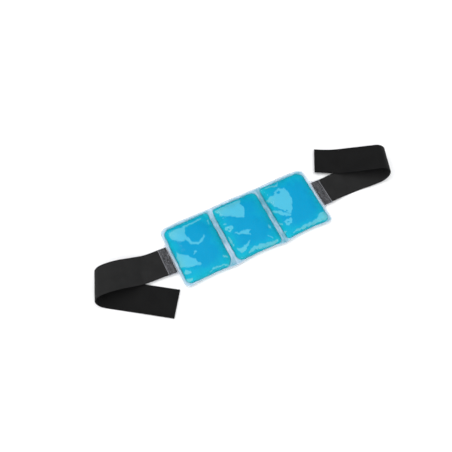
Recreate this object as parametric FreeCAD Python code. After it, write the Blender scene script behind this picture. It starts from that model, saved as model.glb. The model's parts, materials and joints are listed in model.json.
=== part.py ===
import FreeCAD, Part
import math
import os

# A cold compression wrap: a clear vinyl pouch with three gel cells in a row, and a webbing
# strap welded into a clear tab at each end of it. Millimetres, X along the pouch, Z up.
# The origin is at the centre of the middle cell's underside, on the surface that it lies on.
V = FreeCAD.Vector

# Pouch
CELL_PITCH = 96.0
CELLS = ("left", "middle", "right")
TAB_HINGE_X = 144.5
POUCH_WIDTH = 120.0
EDGE_DIP = 1.5
OUTLINE_CORNER = 9.0
FILM = 0.4
WELD_Z = 6.0
END_WELD = 4.6
SEAM_WELD = 8.0
SIDE_WELD = 4.0
FRONT_RISE = 12.0
HINGE_SETBACK = 0.4
FRONT_LEVELS = (1.0, 0.97, 0.9, 0.78, 0.6, 0.3)
BACK_LEVELS = (1.0, 0.95, 0.85, 0.72, 0.6)
POCKET_CORNER = 11.0
GEL_CLEARANCE = 0.1

# Tabs
TAB_LENGTH = 17.0
TAB_HALF_WIDTH_AT_POUCH = 31.0
TAB_HALF_WIDTH = 26.6
STRAP_INSET = 3.5

# Straps
STRAP_WIDTH = 50.8
STRAP_THICKNESS = 1.6
STRAP_LENGTH = 297.0
FOLD_GAP = 0.4
CORNER_BLUNT = 0.1
FOLD_HINGE_TURN = 45.0
BEND_STEP = 7.5
FLOOR_LEVEL = STRAP_THICKNESS / 2

# Hook patch and its stitches
PATCH_LENGTH = 50.0
PATCH_WIDTH = 49.0
PATCH_THICKNESS = 1.5
PATCH_END_GAP = 1.5
STITCH_LENGTH = 2.4
STITCH_PITCH = 3.4
STITCH_WIDTH = 0.5
STITCH_HEIGHT = 0.3
STITCH_INSET = 2.5


def save(name, shape):
    """Write one sub-part's STEP file."""
    os.makedirs("parts", exist_ok=True)
    shape.exportStep("parts/" + name + ".step")


def rounded_rectangle(x0, x1, y0, y1, radius, z):
    """A closed wire, with its four corners as quarter circles."""
    cut = radius * (1 - math.sqrt(0.5))
    edges = []
    corners = ((x1, y0, -1, 1), (x1, y1, -1, -1), (x0, y1, 1, -1), (x0, y0, 1, 1))
    ends = []
    for index, (x, y, dx, dy) in enumerate(corners):
        along_x = V(x + dx * radius, y, z)
        along_y = V(x, y + dy * radius, z)
        start, end = (along_x, along_y) if index % 2 == 0 else (along_y, along_x)
        ends.append((start, V(x + dx * cut, y + dy * cut, z), end))
    for index, (start, middle, end) in enumerate(ends):
        edges.append(Part.Arc(start, middle, end).toShape())
        edges.append(Part.makeLine(end, ends[(index + 1) % 4][0]))
    return Part.Wire(edges)


def pillow(box, depth, levels, upward, shrink=0.0):
    """Half of a filled cell on the weld plane. Each level is a share of the half-width, and the
    height falls off with its cube, so that the cell is flat on top and steep at its welds."""
    x0, x1, y0, y1 = box
    half = (x1 - x0) / 2
    last = levels[-1]
    sections = []
    for level in levels:
        inset = (1 - level) * half + shrink
        height = (depth - shrink) * (1 - level**3) / (1 - last**3)
        z = WELD_Z + (height if upward else -height)
        radius = POCKET_CORNER * level
        sections.append(
            rounded_rectangle(x0 + inset, x1 - inset, y0 + inset, y1 - inset, radius, z)
        )
    return Part.makeLoft(sections, True, True)


def flange_wire(x0, x1, round_x0, round_x1):
    """The outline of one cell's share of the film, whose long edges dip between the seams."""
    y = POUCH_WIDTH / 2
    r0 = OUTLINE_CORNER if round_x0 else 0.0
    r1 = OUTLINE_CORNER if round_x1 else 0.0
    middle = (x0 + x1) / 2
    cut = OUTLINE_CORNER * (1 - math.sqrt(0.5))
    edges = [Part.Arc(V(x0 + r0, -y), V(middle, EDGE_DIP - y), V(x1 - r1, -y)).toShape()]
    if round_x1:
        edges.append(Part.Arc(V(x1 - r1, -y), V(x1 - cut, cut - y), V(x1, r1 - y)).toShape())
    edges.append(Part.makeLine(V(x1, r1 - y), V(x1, y - r1)))
    if round_x1:
        edges.append(Part.Arc(V(x1, y - r1), V(x1 - cut, y - cut), V(x1 - r1, y)).toShape())
    edges.append(Part.Arc(V(x1 - r1, y), V(middle, y - EDGE_DIP), V(x0 + r0, y)).toShape())
    if round_x0:
        edges.append(Part.Arc(V(x0 + r0, y), V(x0 + cut, y - cut), V(x0, y - r0)).toShape())
    edges.append(Part.makeLine(V(x0, y - r0), V(x0, r0 - y)))
    if round_x0:
        edges.append(Part.Arc(V(x0, r0 - y), V(x0 + cut, cut - y), V(x0 + r0, -y)).toShape())
    return Part.Wire(edges)


def cell_shapes(index):
    """One cell: its front film, its back film and its gel."""
    first = index == 0
    final = index == len(CELLS) - 1
    seam_x = CELL_PITCH / 2 + CELL_PITCH * (index - 1)
    x0 = -TAB_HINGE_X if first else seam_x - CELL_PITCH
    x1 = TAB_HINGE_X if final else seam_x
    pocket = (
        x0 + (END_WELD if first else SEAM_WELD / 2),
        x1 - (END_WELD if final else SEAM_WELD / 2),
        SIDE_WELD - POUCH_WIDTH / 2,
        POUCH_WIDTH / 2 - SIDE_WELD,
    )
    outline = Part.Face(flange_wire(x0 + HINGE_SETBACK, x1 - HINGE_SETBACK, first, final))
    films = []
    gel_halves = []
    for upward, depth, levels in ((True, FRONT_RISE, FRONT_LEVELS), (False, WELD_Z, BACK_LEVELS)):
        base = WELD_Z if upward else WELD_Z - FILM
        flange = outline.extrude(V(0, 0, FILM)).translated(V(0, 0, base))
        outer = pillow(pocket, depth, levels, upward)
        inner = pillow(pocket, depth, levels, upward, FILM)
        films.append(flange.fuse(outer).cut(inner).removeSplitter())
        gel_halves.append(pillow(pocket, depth, levels, upward, FILM + GEL_CLEARANCE))
    gel = gel_halves[0].fuse(gel_halves[1]).removeSplitter()
    return films[0], films[1], gel


def tab_film(side, front):
    """One of the two clear films that hold a strap's root, stepped to pass over the webbing."""
    near = TAB_HINGE_X + HINGE_SETBACK
    far = TAB_HINGE_X + TAB_LENGTH
    step_start = near + 1.1
    step_end = TAB_HINGE_X + STRAP_INSET - 0.4
    raised = WELD_Z + STRAP_THICKNESS / 2
    profile = [
        (near, WELD_Z),
        (step_start, WELD_Z),
        (step_end, raised),
        (far, raised),
        (far, raised + FILM),
        (step_end, raised + FILM),
        (step_start, WELD_Z + FILM),
        (near, WELD_Z + FILM),
    ]
    points = []
    for x, z in profile:
        points.append(V(side * x, -POUCH_WIDTH / 2, z if front else 2 * WELD_Z - z))
    bar = Part.Face(Part.makePolygon(points + [points[0]])).extrude(V(0, POUCH_WIDTH, 0))
    wide, narrow = TAB_HALF_WIDTH_AT_POUCH, TAB_HALF_WIDTH
    flare_x = side * (near + 2.6)
    neck_x = side * (near + 8.0)
    near_x, far_x = side * near, side * far
    flare = narrow + 0.35 * (wide - narrow)
    outline = Part.Wire([
        Part.Arc(V(near_x, -wide), V(flare_x, -flare), V(neck_x, -narrow)).toShape(),
        Part.makeLine(V(neck_x, -narrow), V(far_x, -narrow)),
        Part.makeLine(V(far_x, -narrow), V(far_x, narrow)),
        Part.makeLine(V(far_x, narrow), V(neck_x, narrow)),
        Part.Arc(V(neck_x, narrow), V(flare_x, flare), V(near_x, wide)).toShape(),
        Part.makeLine(V(near_x, wide), V(near_x, -wide)),
    ])
    return bar.common(Part.Face(outline).extrude(V(0, 0, 2 * WELD_Z)))


def smooth_bump(value, start, end):
    """0 outside start..end, rising smoothly to 1 halfway between them."""
    if value <= start or value >= end:
        return 0.0
    return math.sin(math.pi * (value - start) / (end - start)) ** 2


class Strap:
    """A folded webbing strap. Seen edge-on, it follows a profile of straight stretches and bends,
    each given as (length, turn in degrees), and every line across a bend is straight. The bends
    lie at an angle to the strap, so that the folded run leaves at an angle too. sway moves the
    middle of the first run sideways, and over the loop fan turns the bend lines in plan and lift
    raises their near and far ends."""

    def __init__(self, side, heading, bend_line, profile, loop, outer):
        self.side = side
        self.origin = V(side * (TAB_HINGE_X + STRAP_INSET), 0, 0)
        self.bend_angle = math.radians(bend_line)
        self.forward = V(math.cos(math.radians(heading)), math.sin(math.radians(heading)), 0)
        self.sideways = V(-self.forward.y, self.forward.x, 0)
        self.along = V(math.cos(self.bend_angle), math.sin(self.bend_angle), 0)
        self.out = V(self.along.y, -self.along.x, 0) * side
        self.lean = self.forward.dot(self.along) / self.forward.dot(self.out)
        self.profile = profile
        self.loop_start = sum(length for length, turn in profile[:loop])
        self.loop_length, self.loop_turn = profile[loop]
        self.outer = outer
        self.sway = 0.0
        self.fan = 0.0
        self.lift = (0.0, 0.0)
        self.shaped = (self.loop_start, self.loop_start + self.loop_length)
        share = FOLD_HINGE_TURN / abs(self.loop_turn)
        self.first_hinge = self.loop_start + share * self.loop_length
        self.second_hinge = self.loop_start + (1 - share) * self.loop_length

    def stations(self):
        """Where along the profile the cross-sections lie, at its corners and round its bends."""
        at = 0.0
        places = [at]
        for length, turn in self.profile:
            count = max(1, round(abs(turn) / BEND_STEP))
            if turn == 0 and length > 15:
                count = math.ceil(length / 8)
            for step in range(1, count + 1):
                places.append(at + length * step / count)
            at += length
        return places

    def height(self, place):
        """(distance out, height, slope angle) of the strap's mid-surface at a profile place."""
        distance, level, slope = 0.0, WELD_Z, 0.0
        if place <= 0:
            return place, level, slope
        for length, turn in self.profile:
            part = min(place, length)
            bend = math.radians(turn) * part / length
            if turn == 0:
                distance += part * math.cos(slope)
                level += part * math.sin(slope)
            else:
                radius = length / math.radians(turn)
                distance += radius * (math.sin(slope + bend) - math.sin(slope))
                level -= radius * (math.cos(slope + bend) - math.cos(slope))
            slope += bend
            place -= part
            if place <= 0:
                break
        return distance, level, slope

    def point(self, place, share, offset=0.0):
        """A point at a profile place, share 0..1 of the way across the strap along the bend line,
        and offset from the mid-surface towards its front face."""
        distance, level, slope = self.height(place)
        centre = place * self.lean + self.sway * smooth_bump(place, 0, self.loop_start)
        shaping = smooth_bump(place, self.shaped[0], self.shaped[1])
        turned = self.bend_angle + self.fan * shaping
        span = STRAP_WIDTH / abs(self.forward.dot(self.out))
        across = V(math.cos(turned), math.sin(turned), 0) * (share - 0.5) * span
        normal = self.out * -math.sin(slope) + V(0, 0, math.cos(slope))
        near_lift, far_lift = self.lift
        rise = V(0, 0, level + (near_lift + (far_lift - near_lift) * share) * shaping)
        middle = self.origin + self.out * distance + self.along * centre
        return middle + across + rise + normal * offset

    def flat_point(self, length_along, width_along, offset=0.0):
        """A point given by its place on the strap when the strap lies open and flat."""
        flat = self.forward * length_along + self.sideways * width_along
        place = flat.dot(self.out)
        span = STRAP_WIDTH / abs(self.forward.dot(self.out))
        return self.point(place, 0.5 + (flat.dot(self.along) - place * self.lean) / span, offset)

    def kept_shares(self, place):
        """The part of a cross-section that lies between the strap's root and its free end."""
        low, high = 0.0, 1.0
        reach = []
        for share in (0.0, 1.0):
            across = (share - 0.5) * STRAP_WIDTH / abs(self.forward.dot(self.out))
            flat = self.out * place + self.along * (place * self.lean + across)
            reach.append((self.side * flat.x, STRAP_LENGTH - flat.dot(self.forward)))
        for at_near, at_far in zip(*reach):
            if at_near < 0 < at_far:
                low = max(low, at_near / (at_near - at_far))
            elif at_far < 0 < at_near:
                high = min(high, at_near / (at_near - at_far))
        return low, high

    def end_places(self):
        """Where along the profile the root's two corners and the free end's two corners lie."""
        places = []
        for across in (-STRAP_WIDTH / 2, STRAP_WIDTH / 2):
            root = self.sideways * across - self.forward * (across * self.sideways.x / self.forward.x)
            tip = self.forward * STRAP_LENGTH + self.sideways * across
            places += [root.dot(self.out), tip.dot(self.out)]
        return sorted(places)

    def section(self, place):
        """The strap's cross-section along the bend line at a profile place."""
        half = STRAP_THICKNESS / 2
        low, high = self.kept_shares(place)
        corners = [
            self.point(place, low, half),
            self.point(place, high, half),
            self.point(place, high, -half),
            self.point(place, low, -half),
        ]
        return Part.makePolygon(corners + [corners[0]])

    def stretch(self, start, end):
        """The strap's solid between two profile places."""
        inner = sorted(self.stations() + self.end_places()[1:3])
        places = [start]
        for place in inner:
            if places[-1] + 0.5 < place < end - 0.5:
                places.append(place)
        wires = [self.section(place) for place in places + [end]]
        return Part.makeLoft(wires, True, True)

    def pieces(self):
        """The strap's root run, its loop and its free run, apart by the fold gap."""
        half_gap = FOLD_GAP / 2
        ends = self.end_places()
        run = self.stretch(ends[0] + CORNER_BLUNT, self.first_hinge - half_gap)
        loop = self.stretch(self.first_hinge + half_gap, self.second_hinge - half_gap)
        free = self.stretch(self.second_hinge + half_gap, ends[3] - CORNER_BLUNT)
        return run, loop, free

    def hinge(self, place):
        """(a point on a fold hinge, its direction) on the loop's outer face."""
        offset = self.outer * (STRAP_THICKNESS / 2 + 0.1)
        near = self.point(place, 0, offset)
        far = self.point(place, 1, offset)
        return (near + far) * 0.5, (far - near).normalize()


def bend(radius, turn):
    """A profile bend of a given radius, as (length, turn), with a turn above 0 upwards."""
    return radius * math.radians(abs(turn)), turn


def rise_over(radius, turn):
    """How far a bend that starts level climbs or falls."""
    return radius * (1 - math.cos(math.radians(turn)))


def ramp(radius, turn, climb):
    """A bend, a slope and a bend back to level, which climb or fall by a given height."""
    sloped = (climb - 2 * rise_over(radius, turn)) / math.sin(math.radians(abs(turn)))
    return [bend(radius, turn), (sloped, 0), bend(radius, -turn)]


def left_strap():
    """It sags from its tab, climbs over a tall loop and is folded under."""
    tab_flat, sag_level, sag_length = 22.5, 5.3, 6.0
    climb_turn, climb_radius, climb_length = 32.0, 30.0, 30.5
    crest_turn, crest_radius = 40.0, 49.5
    entry = climb_turn - crest_turn
    top = sag_level + rise_over(climb_radius, climb_turn)
    top += climb_length * math.sin(math.radians(climb_turn))
    top += rise_over(crest_radius, climb_turn) - rise_over(crest_radius, entry)
    radius = (top - FLOOR_LEVEL) / (1 + math.cos(math.radians(entry)))
    profile = [(tab_flat, 0)]
    profile += ramp(35.0, -6.0, WELD_Z - sag_level)
    profile += [(sag_length, 0), bend(climb_radius, climb_turn), (climb_length, 0)]
    profile += [bend(crest_radius, -crest_turn)]
    loop = len(profile)
    profile += [bend(radius, -180.0 - entry), (5.0, 0)]
    profile += ramp(150.0, -2.0, PATCH_THICKNESS)
    profile += [(140.0, 0)]
    return Strap(-1, 175.6, 70.2, profile, loop, 1)


def right_strap():
    """It drops from its tab to the floor, turns up in a loop and is folded over its own run."""
    tab_flat, floor_run, loop_radius, fall, fall_length = 20.5, 123.8, 15.1, 18.4, 59.5
    profile = [(tab_flat, 0)]
    profile += ramp(60.0, -9.0, WELD_Z - FLOOR_LEVEL)
    profile += [(floor_run - sum(length for length, turn in profile), 0)]
    loop = len(profile)
    profile += [bend(loop_radius, 180.0 + fall), (fall_length, 0), bend(100.0, -fall), (60.0, 0)]
    strap = Strap(1, -2.0, 74.5, profile, loop, -1)
    strap.sway = 3.4
    strap.fan = math.radians(-5.8)
    strap.lift = (4.0, 0.0)
    shaped = 80.0
    strap.shaped = (strap.loop_start - shaped, strap.loop_start + strap.loop_length + shaped)
    return strap


def hook_patch(strap):
    """The hook patch on the front face of a strap's free end."""
    far = STRAP_LENGTH - PATCH_END_GAP
    near = far - PATCH_LENGTH
    half = PATCH_WIDTH / 2
    corners = []
    for along, across in ((near, -half), (far, -half), (far, half), (near, half)):
        corner = strap.flat_point(along, across)
        corner.z = 0
        corners.append(corner)
    return Part.Face(Part.makePolygon(corners + [corners[0]])).extrude(V(0, 0, PATCH_THICKNESS))


def stitch(strap, start, end):
    """One stitch on the strap's back face, between two places on the open strap."""
    level = PATCH_THICKNESS + STRAP_THICKNESS
    first = strap.flat_point(*start)
    second = strap.flat_point(*end)
    first.z = second.z = level
    line = (second - first).normalize()
    side = V(-line.y, line.x, 0) * (STITCH_WIDTH / 2)
    corners = [first - side, second - side, second + side, first + side]
    return Part.Face(Part.makePolygon(corners + [corners[0]])).extrude(V(0, 0, STITCH_HEIGHT))


def patch_stitching(strap):
    """A row of stitches round the hook patch, as seen on the strap's other face."""
    far = STRAP_LENGTH - PATCH_END_GAP - STITCH_INSET
    near = STRAP_LENGTH - PATCH_END_GAP - PATCH_LENGTH + STITCH_INSET
    half = PATCH_WIDTH / 2 - STITCH_INSET
    corners = ((near, -half), (far, -half), (far, half), (near, half))
    stitches = []
    for index, corner in enumerate(corners):
        following = corners[(index + 1) % 4]
        length = math.dist(corner, following)
        count = int(length / STITCH_PITCH)
        step = length / count
        for number in range(count):
            ends = []
            for distance in (number * step + (step - STITCH_LENGTH) / 2,
                             number * step + (step + STITCH_LENGTH) / 2):
                share = distance / length
                ends.append(tuple(a + (b - a) * share for a, b in zip(corner, following)))
            stitches.append(stitch(strap, *ends))
    return Part.makeCompound(stitches)


def build():
    for index, cell in enumerate(CELLS):
        front, back, gel = cell_shapes(index)
        save("front_film_" + cell, front)
        save("back_film_" + cell, back)
        save("gel_" + cell, gel)
    straps = {"left": left_strap(), "right": right_strap()}
    for name, strap in straps.items():
        save("tab_film_front_" + name, tab_film(strap.side, True))
        save("tab_film_back_" + name, tab_film(strap.side, False))
        run, loop, free = strap.pieces()
        save("strap_" + name + "_run", run)
        save("strap_" + name + "_fold", loop)
        save("strap_" + name + "_end", free)
    save("hook_patch", hook_patch(straps["left"]))
    save("hook_patch_stitching", patch_stitching(straps["left"]))


build()
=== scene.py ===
# %% [markdown]
# # A cold compression wrap
# Three cells of blue gel lie side by side in a clear vinyl pouch. A black elastic strap is welded
# into a clear tab at each end of the pouch. The measured model is loaded first and is never
# moved: every piece below is put where that model says, in metres, with Z up.

# %% Load the measured model
import json
import math

import bmesh
import bpy
from mathutils import Matrix, Vector, noise


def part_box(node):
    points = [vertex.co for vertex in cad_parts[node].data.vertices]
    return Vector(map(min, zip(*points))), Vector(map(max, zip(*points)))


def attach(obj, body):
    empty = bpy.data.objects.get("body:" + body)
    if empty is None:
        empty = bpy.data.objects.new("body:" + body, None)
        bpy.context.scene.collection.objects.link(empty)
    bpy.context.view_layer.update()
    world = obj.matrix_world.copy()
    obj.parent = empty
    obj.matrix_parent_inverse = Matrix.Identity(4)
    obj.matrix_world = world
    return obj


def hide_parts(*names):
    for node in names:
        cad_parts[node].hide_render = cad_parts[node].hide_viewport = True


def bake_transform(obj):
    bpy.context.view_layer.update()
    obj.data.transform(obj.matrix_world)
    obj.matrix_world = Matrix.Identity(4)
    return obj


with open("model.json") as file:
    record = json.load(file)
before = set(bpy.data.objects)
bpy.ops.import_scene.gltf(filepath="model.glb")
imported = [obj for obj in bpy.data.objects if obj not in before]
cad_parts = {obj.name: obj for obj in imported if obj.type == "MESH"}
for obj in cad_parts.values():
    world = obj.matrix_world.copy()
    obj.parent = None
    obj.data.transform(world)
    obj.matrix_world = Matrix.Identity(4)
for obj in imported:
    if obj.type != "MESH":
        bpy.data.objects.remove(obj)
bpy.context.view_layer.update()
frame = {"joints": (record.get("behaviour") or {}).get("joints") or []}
MM = 0.001
joints = {joint["name"]: joint for joint in frame["joints"]}

# %% [markdown]
# ## Camera
# The camera looks down at the wrap from its left front corner, and isn't tilted sideways, so a
# place, a direction to look in and "up is up" are enough to set it.

# %% Camera
camera = bpy.data.objects.new("camera", bpy.data.cameras.new("camera"))
bpy.context.collection.objects.link(camera)
camera.location = (-0.21675, -0.35724, 0.89147)
looking = Vector((0.18759, 0.38147, -0.90515))
camera.rotation_euler = looking.to_track_quat("-Z", "Y").to_euler()
camera.data.lens = 43.8
bpy.context.scene.camera = camera
bpy.context.scene.view_settings.view_transform = "Standard"
print("camera", tuple(round(value, 3) for value in camera.location))

# %% [markdown]
# ## Light and floor
# Clear film shows its surroundings, so what it can mirror matters more than how bright the room
# is. Two softboxes are the only lamps that the film mirrors: one behind on the left, which puts
# pale patches on the slopes that face it, and one in front, which catches the near edges. Two
# suns, so wide that their shadows are soft, light the wrap and are hidden from mirror-like
# surfaces. The camera sees a paler backdrop than the room that lights the scene.


# %% Light and floor
def softbox(name, direction, distance, size, radiance):
    """An area lamp that faces the wrap. Its power follows from how bright it should look."""
    lamp = bpy.data.lights.new(name, "AREA")
    lamp.shape = "RECTANGLE"
    lamp.size, lamp.size_y = size
    lamp.energy = radiance * math.pi * size[0] * size[1]
    holder = bpy.data.objects.new(name, lamp)
    bpy.context.collection.objects.link(holder)
    toward = Vector(direction).normalized()
    holder.location = toward * distance
    holder.rotation_euler = toward.to_track_quat("Z", "Y").to_euler()
    return holder


softbox("back_softbox", (-0.30, 0.62, 0.72), 1.5, (0.5, 0.7), 1.7)
softbox("front_softbox", (-0.35, -0.80, 0.42), 1.6, (0.9, 0.25), 1.7)
for name, toward, energy, spread in (
    ("soft_sun", (-0.25, -0.1, 1.0), 2.6, 80), ("soft_fill", (0.55, -0.45, 0.8), 1.1, 120),
):
    sun = bpy.data.objects.new(name, bpy.data.lights.new(name, "SUN"))
    bpy.context.collection.objects.link(sun)
    sun.data.energy = energy
    sun.data.angle = math.radians(spread)
    sun.rotation_euler = Vector(toward).to_track_quat("Z", "Y").to_euler()
    sun.visible_glossy = False
print(len(bpy.data.lights), "lamps")

world = bpy.data.worlds.new("pale_room")
bpy.context.scene.world = world
world.use_nodes = True
sky_nodes, sky_links = world.node_tree.nodes, world.node_tree.links
room = sky_nodes["Background"]
room.inputs["Color"].default_value = (0.9, 0.93, 1.0, 1)
room.inputs["Strength"].default_value = 0.17
backdrop = sky_nodes.new("ShaderNodeBackground")
backdrop.inputs["Color"].default_value = (0.92, 0.94, 0.97, 1)
path = sky_nodes.new("ShaderNodeLightPath")
sky_mix = sky_nodes.new("ShaderNodeMixShader")
sky_links.new(path.outputs["Is Camera Ray"], sky_mix.inputs[0])
sky_links.new(room.outputs[0], sky_mix.inputs[1])
sky_links.new(backdrop.outputs[0], sky_mix.inputs[2])
sky_links.new(sky_mix.outputs[0], sky_nodes["World Output"].inputs["Surface"])


# %% [markdown]
# ## Small helpers for materials and meshes
# Each finish is a few shader nodes. Each soft piece starts as a flat grid, because a grid keeps
# its rows and columns when it is bent, and the pattern on it can follow them.


# %% Material helpers
def add(tree, kind, **settings):
    """A shader node. A setting that names an input fills it: a socket is linked, a value is set."""
    made = tree.nodes.new("ShaderNode" + kind)
    for key, value in settings.items():
        name = key.replace("_", " ")
        if name not in made.inputs:
            setattr(made, key, value)
        elif isinstance(value, bpy.types.NodeSocket):
            tree.links.new(value, made.inputs[name])
        else:
            made.inputs[name].default_value = value
    return made


def finish_called(name, colour, roughness):
    """A new material with its plain colour and roughness, its node tree and its shader."""
    material = bpy.data.materials.new(name)
    material.use_nodes = True
    material.diffuse_color = (*colour, 1)
    tree = material.node_tree
    shader = tree.nodes["Principled BSDF"]
    shader.inputs["Base Color"].default_value = (*colour, 1)
    shader.inputs["Roughness"].default_value = roughness
    print("finish", name)
    return material, tree, shader


def ramp(tree, value, stops):
    """A colour ramp between (position, colour) stops."""
    made = add(tree, "ValToRGB", Fac=value)
    while len(made.color_ramp.elements) < len(stops):
        made.color_ramp.elements.new(0.5)
    for element, (position, colour) in zip(made.color_ramp.elements, stops):
        element.position = position
        element.color = (*colour, 1)
    return made.outputs["Color"]


def grey(value):
    """A grey of a given brightness."""
    return (value, value, value)


def mapped(tree, source, scale, turn=0.0):
    """A pattern's coordinates, stretched by scale and turned about Z."""
    coordinates = add(tree, "TexCoord").outputs["Object"]
    if source == "UV":
        coordinates = add(tree, "UVMap", uv_map="flat").outputs["UV"]
    made = add(tree, "Mapping", Vector=coordinates)
    made.inputs["Scale"].default_value = scale
    made.inputs["Rotation"].default_value = (0, 0, turn)
    return made.outputs["Vector"]


def mixed(tree, share, first, second, blend_type="MIX"):
    """A mix of two colours."""
    made = tree.nodes.new("ShaderNodeMix")
    made.data_type = "RGBA"
    made.blend_type = blend_type
    for socket, value in ((made.inputs[0], share), (made.inputs[6], first), (made.inputs[7], second)):
        if isinstance(value, bpy.types.NodeSocket):
            tree.links.new(value, socket)
        else:
            socket.default_value = value if isinstance(value, float) else (*value, 1)
    return made.outputs[2]


def weighted(tree, *parts):
    """The sum of some numbers, each times its weight."""
    total = None
    for value, weight in parts:
        step = add(tree, "Math", operation="MULTIPLY_ADD")
        tree.links.new(value, step.inputs[0])
        step.inputs[1].default_value, step.inputs[2].default_value = weight, 0.0
        if total is not None:
            tree.links.new(total, step.inputs[2])
        total = step.outputs[0]
    return total


def bump(tree, height, distance, strength=1.0):
    """The surface direction that a pattern's height gives. distance is its depth in metres."""
    return add(tree, "Bump", Height=height, Distance=distance, Strength=strength).outputs["Normal"]


def paint(tree, shader, colour, normal=None):
    """Gives a shader its colour pattern, and its bumps if it has any."""
    tree.links.new(colour, shader.inputs["Base Color"])
    if normal is not None:
        tree.links.new(normal, shader.inputs["Normal"])


def partly_clear(tree, share, surface, tint):
    """Shows a share of a surface, and for the rest passes what is behind it, slightly tinted."""
    clear = add(tree, "BsdfTransparent", Color=(*tint, 1))
    made = tree.nodes.new("ShaderNodeMixShader")
    for output, socket in zip((share, clear.outputs[0], surface), made.inputs):
        tree.links.new(output, socket)
    tree.links.new(made.outputs[0], tree.nodes["Material Output"].inputs["Surface"])


# %% Mesh helpers
def flat_grid(columns, rows):
    """A flat grid from -1 to 1 both ways."""
    bm = bmesh.new()
    bmesh.ops.create_grid(bm, x_segments=columns, y_segments=rows, size=1)
    return bm


def thicken(bm):
    """Turns a flat sheet into a closed slab, with its front at Z 1 and its back at Z -1."""
    bmesh.ops.recalc_face_normals(bm, faces=bm.faces[:])
    bmesh.ops.solidify(bm, geom=bm.faces[:], thickness=1.0)
    middle = sum(vert.co.z for vert in bm.verts) / len(bm.verts)
    for vert in bm.verts:
        vert.co.z = 1.0 if vert.co.z > middle else -1.0


def finished(name, bm, *materials):
    """The finished piece: doubles merged, faces outwards, smooth, at the origin."""
    bmesh.ops.remove_doubles(bm, verts=bm.verts[:], dist=1e-6)
    bmesh.ops.dissolve_degenerate(bm, edges=bm.edges[:], dist=1e-7)
    bmesh.ops.recalc_face_normals(bm, faces=bm.faces[:])
    if bm.calc_volume(signed=True) < 0:
        bmesh.ops.reverse_faces(bm, faces=bm.faces[:])
    for face in bm.faces:
        face.smooth = True
    mesh = bpy.data.meshes.new(name)
    bm.to_mesh(mesh)
    bm.free()
    for material in materials:
        mesh.materials.append(material)
    piece = bpy.data.objects.new(name, mesh)
    bpy.context.collection.objects.link(piece)
    print(name, len(mesh.polygons), "faces")
    return piece


def smooth_step(value, start, end):
    """0 below start, 1 above end, and a smooth rise between."""
    share = min(1.0, max(0.0, (value - start) / (end - start)))
    return share * share * (3 - 2 * share)


# %% Floor
FLOOR_REACH, FLOOR_DROP = 5, 0.3 * MM
floor_finish, tree, shader = finish_called("pale_floor", grey(0.9), 0.8)
speckle = add(tree, "TexNoise", Vector=mapped(tree, "Object", (30, 30, 30)), Scale=1.0)
paint(tree, shader, ramp(tree, speckle.outputs["Fac"], [(0.3, grey(0.89)), (0.7, grey(0.91))]))
floor_mesh = flat_grid(2, 2)
spread = Matrix.Translation((0, 0, -FLOOR_DROP)) @ Matrix.Scale(FLOOR_REACH, 4)
bmesh.ops.transform(floor_mesh, matrix=spread, verts=floor_mesh.verts[:])
floor = finished("studio_floor", floor_mesh, floor_finish)

# %% [markdown]
# ## The folded straps
# A strap is 50.8 mm elastic webbing, 297 mm long, sewn to nothing: its root is welded between the
# tab's films. It could be modelled in its folded shape, but webbing never stretches when it is
# folded, so here each strap is cut flat and then folded by a rule. Seen edge-on, the rule is a
# profile of straight stretches and bends, and every line across a bend stays straight.

# %% The rule that folds a strap
STRAP_WIDTH = 50.8 * MM
STRAP_LENGTH = 297 * MM
STRAP_THICKNESS = 1.6 * MM
STRAP_ROOT_X = 148 * MM
WELD_Z = 6 * MM
FLOOR_LEVEL = STRAP_THICKNESS / 2
PATCH_THICKNESS = 1.5 * MM
FOLD_HINGE_TURN = 45.0


def smooth_bump(value, start, end):
    """0 outside start..end, rising smoothly to 1 halfway between them."""
    if value <= start or value >= end:
        return 0.0
    return math.sin(math.pi * (value - start) / (end - start)) ** 2


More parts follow.
